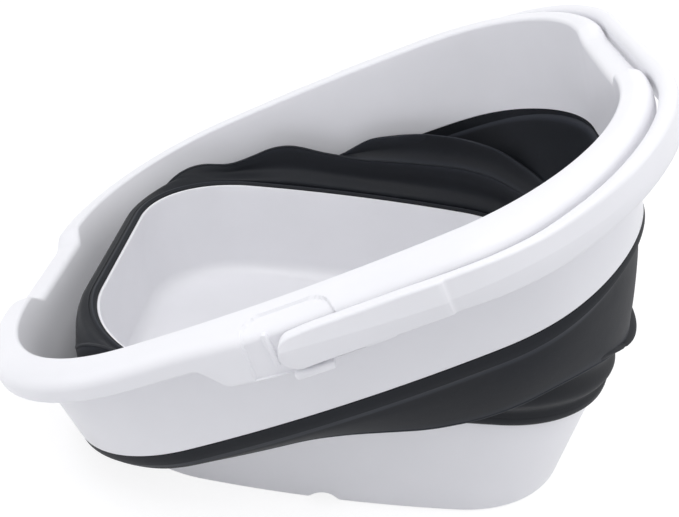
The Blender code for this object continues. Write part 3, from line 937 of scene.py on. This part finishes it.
def middle_web_rows(lines, outward, zones):
    """Rows from the lower crease to the lip: plain, or folded inward along the hump."""
    lower_line, crest_line, lip_line = lines
    _, _, right, hump = zones
    chord = lip_line - lower_line
    valley = lower_line + (crest_line - lower_line) * VALLEY_SHARE
    valley = valley + outward * (VALLEY_BULGE * hump)[:, None]
    under_lip = crest_line + (lip_line - crest_line) * UNDER_LIP_SHARE
    under_lip = under_lip + outward * UNDER_LIP_BULGE
    controls = [lower_line]
    for fold, (part, bulge) in zip((valley, crest_line, under_lip), MIDDLE_BULGES):
        plain = lower_line + chord * part + outward * (bulge * right)[:, None]
        controls.append(plain + (fold - plain) * hump[:, None])
    controls.append(lip_line)
    return spline_rows(controls, MIDDLE_STEPS)


def upper_web_rows(lip_line, outward):
    """Rows from the lip to the bead under the shell, which it meets in a step."""
    rim = crease_outline(RIM, (0.0, 0.0))
    to_link = LINK_PLACE.inverted() @ RIM_PLACE
    height = -SHELL_HEIGHT - collar_height(rim[0])
    taper = shell_taper(rim)
    step_in = STEP_IN + END_STEP_IN * smooth(rim[2], *END_FACING)
    step = placed(to_link, row(rim, -step_in - taper, height - STEP_DOWN))
    inset, rise = STEP_EDGE
    collar_edge = placed(to_link, row(rim, -inset - taper, height + rise))
    bulge = outward * UPPER_BULGE
    controls = [lip_line]
    controls += [lip_line + (step - lip_line) * part + bulge for part in UPPER_SHARES]
    return spline_rows([*controls, step, collar_edge], UPPER_STEPS)


class TUB_OT_webs(bpy.types.Operator):
    """Make the folding wall's three webs, which bend with the lift hinges"""

    bl_idname = "tub.webs"
    bl_label = "Folding webs"

    def execute(self, context):
        shape = context.scene.tub_shape
        lines = crease_lines()
        lower = crease_outline(LOWER_CREASE, LOWER_TUCKS)
        outward = np.stack([lower[2], lower[3], 0.0 * lower[2]], axis=1)
        zones = wall_zones(lower[0])
        flat = np.zeros(len(outward))

        lower_rows, swell = lower_web_rows(lines[0], outward, zones)
        middle_rows = middle_web_rows(lines, outward, zones)
        upper_rows = upper_web_rows(lines[2], outward)
        # Painted highlights: along the creases and the crest, and on the upper web's strip next to the
        # shell's bead, which faces up to the light
        share = np.linspace(0.0, 1.0, len(lower_rows))
        lower_highlight = scuff_and_highlight(share, 1.0, 0.7, 14.0)
        share = np.linspace(0.0, 1.0, len(middle_rows))
        middle_highlight = scuff_and_highlight(share, 0.0, 0.7) + scuff_and_highlight(share, 0.5, 0.5)
        share = np.linspace(0.0, 1.0, len(upper_rows))
        upper_highlight = scuff_and_highlight(share, 0.0, 0.7) + 0.8 * smooth(share, 0.70, 0.78)

        plan = pleat_plan()
        webs = (
            ("lower", lower_rows, swell, lower_highlight, "base", "lower_link"),
            ("middle", middle_rows, flat, middle_highlight, "lower_link", "upper_link"),
            ("upper", upper_rows, flat, upper_highlight, "upper_link", "rim"),
        )
        pleats = {
            "Height": shape.pleat_height,
            "Waves": PLEAT_WAVES,
            "Material": finish_of(RUBBER),
        }
        for name, rows, swell, highlight, below, above in webs:
            piece = wall_piece(name + "_web", rows, shape.wall_thickness, swell, highlight)
            plan.apply(piece, pleats)
            share = np.empty(len(piece.data.vertices), np.float32)
            piece.data.attributes["share"].data.foreach_get("value", share)
            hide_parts(name + "_fold")
            # The wall folds back on itself, so the blend goes by each point's share of the
            # width, which takes the place of the share along a straight line
            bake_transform(piece, below, above, start=(0.0, 0.0, 0.0), end=(0.0, 0.0, 0.2))
            set_values(piece, "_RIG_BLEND", smooth(share, 0.0, 1.0))
        return {"FINISHED"}


class TUB_OT_collar(bpy.types.Operator):
    """Make the soft bead under the shell's lower edge"""

    bl_idname = "tub.collar"
    bl_label = "Bead under the shell"

    def execute(self, context):
        rim = outline(*RIM, ends=16, turns=60, sides=80)
        low = -SHELL_HEIGHT - collar_height(rim[0])
        top = -SHELL_HEIGHT - SEAM_GAP
        outer = -shell_taper(rim) - SEAM_INSET
        rows = [
            row(rim, outer + out, top + (low - top) * part + above)
            for out, part, above, highlight in COLLAR_SECTION
        ]
        piece = loft("shell_bead", rows, RUBBER, RIM_PLACE)
        # Painted highlight along the bead's edges, from the section's last column
        highlight = [highlight_level for out, part, above, highlight_level in COLLAR_SECTION]
        set_values(piece, "crest", np.repeat(highlight, rim.shape[1]))
        dress(piece, "rim", "charcoal_rubber", "shell_collar")
        return {"FINISHED"}


# Rim shell

ROLL_REACH = 0.0178
SIDE_SEAT = 0.0215
END_SEAT = 0.0135
SHELL_WALL = 0.0024
SHELL_BEVEL = 0.0005
ROLL_WALL = 0.0022
ROLL_ROUND = 0.0010
CROWN_REACH = 0.0045
CROWN_RISE = 0.0006
INNER_DROP = 0.0002
SHOULDER_DEPTH = 0.0080
ROLL_DEPTH = 0.0144
ROLL_TRIM = 0.0004
SKIRT_DEPTH = 0.0272
SKIRT_SLOPE = 0.0018
WALL_TOP = 0.022
FACE_DROP = 0.45
INNER_ROUND = 0.0026
SCALLOP_ROUND = 0.0020
SCALLOP_EDGE = (0.038, 0.053)
POCKET_LEFT = -0.0170
POCKET_RIGHT = 0.0215
POCKET_SPREAD = (0.12, 0.24)
POCKET_TOP = 0.0055
POCKET_CORNER = 0.008
POCKET_EDGE = (-0.0004, 0.0005)

# The handle's stops: name, place along X, how far out and up, size and rounding
STOPS = (
    ("_stop_rib", -0.0083, 0.0208, -0.0130, (0.0026, 0.0038, 0.0185), 0.0009),
    ("_stop_tab", 0.0077, 0.0218, -0.0280, (0.0200, 0.0110, 0.0042), 0.0016),
)
SIDES = (("front", -1.0), ("back", 1.0))


def roll_reach(stations):
    """How far the rolled rim stands out: less at the right, where the handle lies outside it."""
    x, _, nx, _ = stations
    seat = SIDE_SEAT + (END_SEAT - SIDE_SEAT) * smooth(np.abs(nx), 0.1, 0.9)
    return ROLL_REACH + (seat - ROLL_REACH) * smooth(x, -0.060, -0.015)


def skirt_depth(stations):
    """How far below the crown the roll's lower edge is: deeper round the pivots."""
    x = stations[0]
    near_handle = 1.0 - smooth(x, 0.044, 0.072)
    deeper = smooth(x, -0.049, -0.0335) * near_handle
    slope = SKIRT_SLOPE * smooth(x, -0.030, 0.000) * near_handle
    return ROLL_DEPTH - ROLL_TRIM + (SKIRT_DEPTH - ROLL_DEPTH) * deeper + slope


def pocket_mask(x, along):
    """The pocket round the pivot, from a place along the rim and a distance down from its
    crown. The pocket widens downward and its corners are round."""
    left = POCKET_LEFT - POCKET_SPREAD[0] * along
    right = POCKET_RIGHT + POCKET_SPREAD[1] * along
    centre = (left + right) / 2
    half = (right - left) / 2
    dx = np.abs(x - centre) - half + POCKET_CORNER
    dy = POCKET_TOP - along + POCKET_CORNER
    outside = np.hypot(np.maximum(dx, 0.0), np.maximum(dy, 0.0))
    distance = outside + np.minimum(np.maximum(dx, dy), 0.0) - POCKET_CORNER
    return 1.0 - smooth(distance, *POCKET_EDGE)


def sink_pockets(rows, first, crown, rim, depth):
    """Presses the two pivot pockets into the roll's outer rows, which go from first up to the
    crown."""
    x, _, nx, ny = rim
    steps = np.linalg.norm(np.diff(rows[first : crown + 1][::-1], axis=0), axis=2)
    along = np.vstack([np.zeros(len(x)), np.cumsum(steps, axis=0)])
    on_side = (np.abs(ny) > 0.9)[None, :]
    mask = np.where(on_side, pocket_mask(x[None, :], along), 0.0)[::-1]
    normals = surface_normals(rows)[first : crown + 1]
    outward = np.stack([nx, ny, 0.0 * nx], axis=1)[None]
    turned = np.sign(np.sum(normals * outward))
    rows[first : crown + 1] -= turned * normals * (depth * mask)[..., None]


class TUB_OT_shell(bpy.types.Operator):
    """Make the rim shell, with its hollow roll, skirts, grip scallops and pivot pockets"""

    bl_idname = "tub.shell"
    bl_label = "Rim shell"

    def execute(self, context):
        shape = context.scene.tub_shape
        marks = marks_between(
            edge=0.084, fine_start=0.034, fine_end=-0.062, fine=0.0007, coarse=0.003
        )
        rim = outline(*RIM, marks, ends=44, turns=48)
        _, y, nx, _ = rim
        reach = roll_reach(rim)
        depth = skirt_depth(rim)
        at_end = smooth(np.abs(nx), 0.4, 0.6)
        scallop = at_end * (1.0 - smooth(np.abs(y), *SCALLOP_EDGE))
        drop = shape.grip_drop * scallop
        edge = INNER_ROUND + SCALLOP_ROUND * scallop

        def shoulder(turn, wall):
            """The roll's rounded shoulder: its outer face at turn 0, its crown at a quarter."""
            out = CROWN_REACH + (reach - wall - CROWN_REACH) * cos(turn)
            lowered = drop * (FACE_DROP + (1.0 - FACE_DROP) * sin(turn))
            up = CROWN_RISE - SHOULDER_DEPTH + (SHOULDER_DEPTH - wall) * sin(turn) - lowered
            return row(rim, out, up)

        # From the lower edge up the outside and round the hollow of the roll
        taper = shell_taper(rim)
        outer_low = row(rim, -taper, -SHELL_HEIGHT + SHELL_BEVEL)
        outer_high = row(rim, -SHELL_TAPER / 2, -WALL_TOP)
        rows = [row(rim, -taper - SHELL_BEVEL, -SHELL_HEIGHT), outer_low]
        rows += [*between(outer_low, outer_high, 6), outer_high]
        rows += [shoulder(turn, ROLL_WALL) for turn in np.linspace(pi / 2, 0.0, 8)]
        skirt_in = row(rim, reach - ROLL_WALL, -depth + ROLL_ROUND)
        rows += [*between(rows[-1], skirt_in, 3), skirt_in]

        # Round the roll's lower edge, then up its outer face to the crown
        for angle in np.radians(np.linspace(-160.0, -20.0, 5)):
            out = reach - ROLL_WALL / 2 + ROLL_WALL / 2 * cos(angle)
            rows.append(row(rim, out, -depth + ROLL_ROUND * (1.0 + sin(angle))))
        first_outer = len(rows)
        skirt_out = row(rim, reach, -depth + ROLL_ROUND)
        rows += [skirt_out, *between(skirt_out, shoulder(0.0, 0.0), 20)]
        rows += [shoulder(turn, 0.0) for turn in np.linspace(0.0, pi / 2, 24)]
        crown = len(rows) - 1

        # Over the inner edge and down the inside
        inner_top = CROWN_RISE - INNER_DROP - drop
        rows += between(rows[-1], row(rim, edge - SHELL_WALL, inner_top), 2)
        for angle in np.radians(np.linspace(90.0, 180.0, 7)):
            out = edge - SHELL_WALL + edge * cos(angle)
            rows.append(row(rim, out, inner_top - edge * (1.0 - sin(angle))))
        inner_low = row(rim, -SHELL_WALL - taper, -SHELL_HEIGHT + SHELL_BEVEL)
        rows += [*between(rows[-1], inner_low, 8), inner_low]
        rows.append(row(rim, -SHELL_WALL - taper + SHELL_BEVEL, -SHELL_HEIGHT))

        rows = np.array(rows)
        sink_pockets(rows, first_outer, crown, rim, shape.pocket_depth)
        piece = loft("rim_shell_moulding", rows, PLASTIC, RIM_PLACE)
        dress(piece, "rim", "white_plastic", "rim_shell")
        return {"FINISHED"}


class TUB_OT_stops(bpy.types.Operator):
    """Make the handle's stop ribs and stop tabs on the rim"""

    bl_idname = "tub.stops"
    bl_label = "Handle stops"

    def execute(self, context):
        for side, sign in SIDES:
            for name, x, out, z, size, edge in STOPS:
                centre = (x, sign * (RIM[1] + out), z)
                piece = rounded_block(side + name, centre, size, edge, PLASTIC, RIM_PLACE)
                dress(piece, "rim", "white_plastic")
        return {"FINISHED"}


# Handle

HEEL = 0.0086
BOSS_END = 0.0765
BOSS_HEIGHT = 0.0014
BOSS_RAMP = (-0.0006, 0.0014)
BOSS_MARKS = (0.0020, 0.0012, 0.0004, -0.0004)
BAIL_ENDS = 24
BAIL_TURNS = 64
ARM_EASE = 0.005
TOP_ROUND = 0.0016
LOW_ROUND = 0.0014
GRIP_TOP_ROUND = 0.0026
GRIP_LOW_ROUND = 0.0016
MOST_ROUND = 0.3
TOP_LEAN = 0.0013
LOW_LEAN = 0.0022
RIDGE_HALF = 0.0004
RIDGE_ROOM = 0.0005
PIN_RADIUS = 0.004

# The arm's top and bottom and the ridge along its outer face: places along X and heights
ARM_TOP = (
    (0.005, -0.0050), (0.013, -0.0040), (0.058, -0.0045), (0.078, -0.0055), (0.100, -0.0065),
    (0.120, -0.0070), (0.150, -0.0050), (0.180, -0.0025), (0.215, -0.0010),
)
ARM_BOTTOM = (
    (0.005, -0.0239), (0.013, -0.0235), (0.058, -0.0236), (0.078, -0.0242), (0.100, -0.0255),
    (0.120, -0.0258), (0.150, -0.0240), (0.180, -0.0215), (0.215, -0.0200),
)
ARM_RIDGE = ((0.002, -0.0107), (0.074, -0.0157), (0.120, -0.0157))

# A pivot pin along Y from the arm's inner face: distances out and shares of its radius
PIN_SECTION = ((0.002, 1.0), (-0.0065, 1.0), (-0.007, 0.9))


def bail_lines(arm, grip):
    """The bail's inner and outer lines, from the front heel round the grip to the back one."""
    inner = outline(*BAIL, ends=BAIL_ENDS, turns=BAIL_TURNS)
    size = (BAIL[0] + grip, BAIL[1] + arm, BAIL[2] + arm)
    outer = outline(*size, ends=BAIL_ENDS, turns=BAIL_TURNS)
    quarter = BAIL_ENDS + BAIL_TURNS + 1
    places = [0.084, 0.080, *(BOSS_END + step for step in BOSS_MARKS)]
    places += list(np.linspace(BOSS_END - 0.003, PIVOT_X, 26))
    places += [PIVOT_X - HEEL * sin(turn) for turn in np.linspace(0.0, pi / 2 - 0.06, 14)[1:]]
    places = np.array(places)
    side_y = BAIL[1] - SIDE_RADIUS + np.sqrt(SIDE_RADIUS**2 - places**2)
    lines = []
    for corner, y in ((inner, side_y), (outer, side_y + arm)):
        line = np.vstack([corner[:2, :quarter].T, np.stack([places, y], axis=1)])
        lines.append(np.vstack([line[:0:-1] * [1.0, -1.0], line]))
    return lines


def bail_section(x, width):
    """The bail's section at places along X, as distances out from its inner line and heights:
    its rounded top, the ridge along its outer face and its rounded bottom."""
    top = eased(x, ARM_TOP, ARM_EASE)
    bottom = eased(x, ARM_BOTTOM, ARM_EASE)
    in_heel = x < PIVOT_X
    shrink = np.sqrt(1.0 - np.clip((PIVOT_X - x) / HEEL, 0.0, 1.0) ** 2)
    pivot_top = eased(PIVOT_X, ARM_TOP, ARM_EASE)
    pivot_bottom = eased(PIVOT_X, ARM_BOTTOM, ARM_EASE)
    middle = (pivot_top + pivot_bottom) / 2
    half = (pivot_top - pivot_bottom) / 2
    top = np.where(in_heel, middle + half * shrink, top)
    bottom = np.where(in_heel, middle - half * shrink, bottom)

    at_grip = smooth(x, 0.090, 0.190)
    most = (top - bottom) * MOST_ROUND
    round_top = np.minimum(TOP_ROUND + GRIP_TOP_ROUND * at_grip, most)
    round_low = np.minimum(LOW_ROUND + GRIP_LOW_ROUND * at_grip, most)
    on_arm = (1.0 - at_grip) * np.where(in_heel, shrink, 1.0)
    lean, low_lean = TOP_LEAN * on_arm, LOW_LEAN * on_arm
    ridge = np.interp(x, *zip(*ARM_RIDGE))
    ridge = np.clip(ridge, bottom + round_low + RIDGE_ROOM, top - round_top - RIDGE_ROOM)

    section = []
    for angle in np.linspace(pi, pi / 2, 6):
        section.append((round_top * (1 + cos(angle)), top - round_top * (1 - sin(angle))))
    for angle in np.linspace(pi / 2, 0.0, 8):
        out = width - lean - round_top * (1 - cos(angle))
        section.append((out, top - round_top * (1 - sin(angle))))
    section.append((width - 0.0001, ridge + RIDGE_HALF))
    section.append((width, ridge - RIDGE_HALF))
    for angle in np.linspace(0.0, -pi / 2, 6):
        out = width - low_lean - round_low * (1 - cos(angle))
        section.append((out, bottom + round_low * (1 + sin(angle))))
    for angle in np.linspace(-pi / 2, -pi, 5):
        out = round_low * (1 + cos(angle))
        section.append((out, bottom + round_low * (1 + sin(angle))))
    return section


class TUB_OT_handle(bpy.types.Operator):
    """Make the bail handle, with its pivot bosses, heels and pins"""

    bl_idname = "tub.handle"
    bl_label = "Bail handle"

    def execute(self, context):
        shape = context.scene.tub_shape
        inner_line, outer_line = bail_lines(shape.arm_thickness, shape.grip_thickness)
        x = inner_line[:, 0]
        away = outer_line - inner_line
        width = np.linalg.norm(away, axis=1)
        away = away / width[:, None]
        boss = BOSS_HEIGHT * (1.0 - smooth(x - BOSS_END, *BOSS_RAMP))
        rows = [
            np.column_stack([inner_line + away * out[:, None], height])
            for out, height in bail_section(x, width + boss)
        ]
        bail = loft("bail_handle", rows, PLASTIC, RIM_PLACE, closed_path=False)
        dress(bail, "bail", "white_plastic", "handle")

        centre = np.array([PIVOT_X, 0.0, -PIVOT_DEPTH])
        turns = np.linspace(0.0, 2 * pi, 32, endpoint=False)
        circle = PIN_RADIUS * np.stack([np.cos(turns), 0.0 * turns, np.sin(turns)], axis=1)
        for side, sign in SIDES:
            rows = [
                centre + circle * share + [0.0, sign * (BAIL[1] + out), 0.0]
                for out, share in PIN_SECTION
            ]
            pin = loft(side + "_pivot_pin", rows, PLASTIC, RIM_PLACE, closed_section=False)
            dress(pin, "bail", "white_plastic")
        return {"FINISHED"}


# Stage

FLOOR_HALF = 6.0
FLOOR_LEVEL = -0.0006
LIT_POINT = (0.0, 0.0, 0.12)

# The lamps: name, place, size and power
LAMPS = (
    ("top_softbox", (-0.05, -0.30, 1.35), (1.0, 0.9), 6.3),
    ("left_softbox", (-1.35, -0.25, 0.75), (0.9, 1.1), 4.0),
    ("right_softbox", (1.05, -0.10, 1.05), (0.9, 0.9), 3.4),
    ("front_fill", (0.1, -1.7, 0.9), (1.4, 0.9), 0.9),
)


def area_light(name, place, size, power):
    """A rectangular lamp that points at the tub."""
    lamp = bpy.data.lights.new(name, "AREA")
    lamp.shape = "RECTANGLE"
    lamp.size, lamp.size_y = size
    lamp.energy = power
    made = bpy.data.objects.new(name, lamp)
    bpy.context.scene.collection.objects.link(made)
    made.location = place
    towards = Vector(LIT_POINT) - Vector(place)
    made.rotation_euler = towards.to_track_quat("-Z", "Y").to_euler()


class Surround(Tree):
    """The world's node tree: soft light, and white where the camera or a reflection sees it."""

    def __init__(self, world):
        world.use_nodes = True
        self.tree = world.node_tree
        self.tree.nodes.clear()
        soft = {"Color": (0.95, 0.96, 1.0, 1.0), "Strength": 0.61}
        white = {"Color": (1.0, 1.0, 1.0, 1.0), "Strength": 1.0}
        lit = self.add("ShaderNodeBackground", inputs=soft)
        shown = self.add("ShaderNodeBackground", inputs=white)
        mix = self.add("ShaderNodeMixShader", inputs={0: self.seen(), 1: lit, 2: shown})
        self.add("ShaderNodeOutputWorld", inputs={"Surface": mix})


class TUB_OT_stage(bpy.types.Operator):
    """Set up the floor, the lights, the white surround and the camera"""

    bl_idname = "tub.stage"
    bl_label = "Stage"

    def execute(self, context):
        mesh = bpy.data.meshes.new("floor")
        corners = [
            (x * FLOOR_HALF, y * FLOOR_HALF, FLOOR_LEVEL)
            for x, y in ((-1, -1), (1, -1), (1, 1), (-1, 1))
        ]
        mesh.from_pydata(corners, [], [(0, 1, 2, 3)])
        mesh.materials.append(floor_material("white_floor"))
        floor = bpy.data.objects.new("floor", mesh)
        context.scene.collection.objects.link(floor)
        for lamp in LAMPS:
            area_light(*lamp)

        context.scene.world = bpy.data.worlds.new("white_surround")
        Surround(context.scene.world)
        context.scene.view_settings.view_transform = "Standard"

        camera = bpy.data.cameras.new("photo_camera")
        camera.sensor_width = SENSOR_MM
        camera.lens = CAMERA_FOCUS_PX / PHOTO_WIDTH_PX * SENSOR_MM
        holder = bpy.data.objects.new("photo_camera", camera)
        holder.location = CAMERA_PLACE
        holder.rotation_euler = Euler(CAMERA_TURN, "XYZ")
        context.scene.collection.objects.link(holder)
        context.scene.camera = holder
        return {"FINISHED"}


class TUB_PT_build(bpy.types.Panel):
    """The tub's sizes, finishes and steps"""

    bl_label = "Collapsible tub"
    bl_idname = "TUB_PT_build"
    bl_space_type = "VIEW_3D"
    bl_region_type = "UI"
    bl_category = "Tub"

    def draw(self, context):
        layout = self.layout
        for group in (context.scene.tub_shape, context.scene.tub_finish):
            box = layout.box()
            for name in group.bl_rna.properties.keys():
                if name not in ("rna_type", "name"):
                    box.prop(group, name)
        for step in STEPS:
            layout.operator(step.bl_idname)


STEPS = (
    TUB_OT_base,
    TUB_OT_cap,
    TUB_OT_creases,
    TUB_OT_webs,
    TUB_OT_collar,
    TUB_OT_shell,
    TUB_OT_stops,
    TUB_OT_handle,
    TUB_OT_stage,
)
CLASSES = (TubShape, TubFinish, *STEPS, TUB_PT_build)


def register():
    for each in CLASSES:
        bpy.utils.register_class(each)
    bpy.types.Scene.tub_shape = bpy.props.PointerProperty(type=TubShape)
    bpy.types.Scene.tub_finish = bpy.props.PointerProperty(type=TubFinish)


def unregister():
    del bpy.types.Scene.tub_finish
    del bpy.types.Scene.tub_shape
    for each in reversed(CLASSES):
        bpy.utils.unregister_class(each)


def main():
    register()
    bpy.ops.tub.base()
    bpy.ops.tub.cap()
    bpy.ops.tub.creases()
    bpy.ops.tub.webs()
    bpy.ops.tub.collar()
    bpy.ops.tub.shell()
    bpy.ops.tub.stops()
    bpy.ops.tub.handle()
    bpy.ops.tub.stage()


if __name__ == "__main__":
    main()
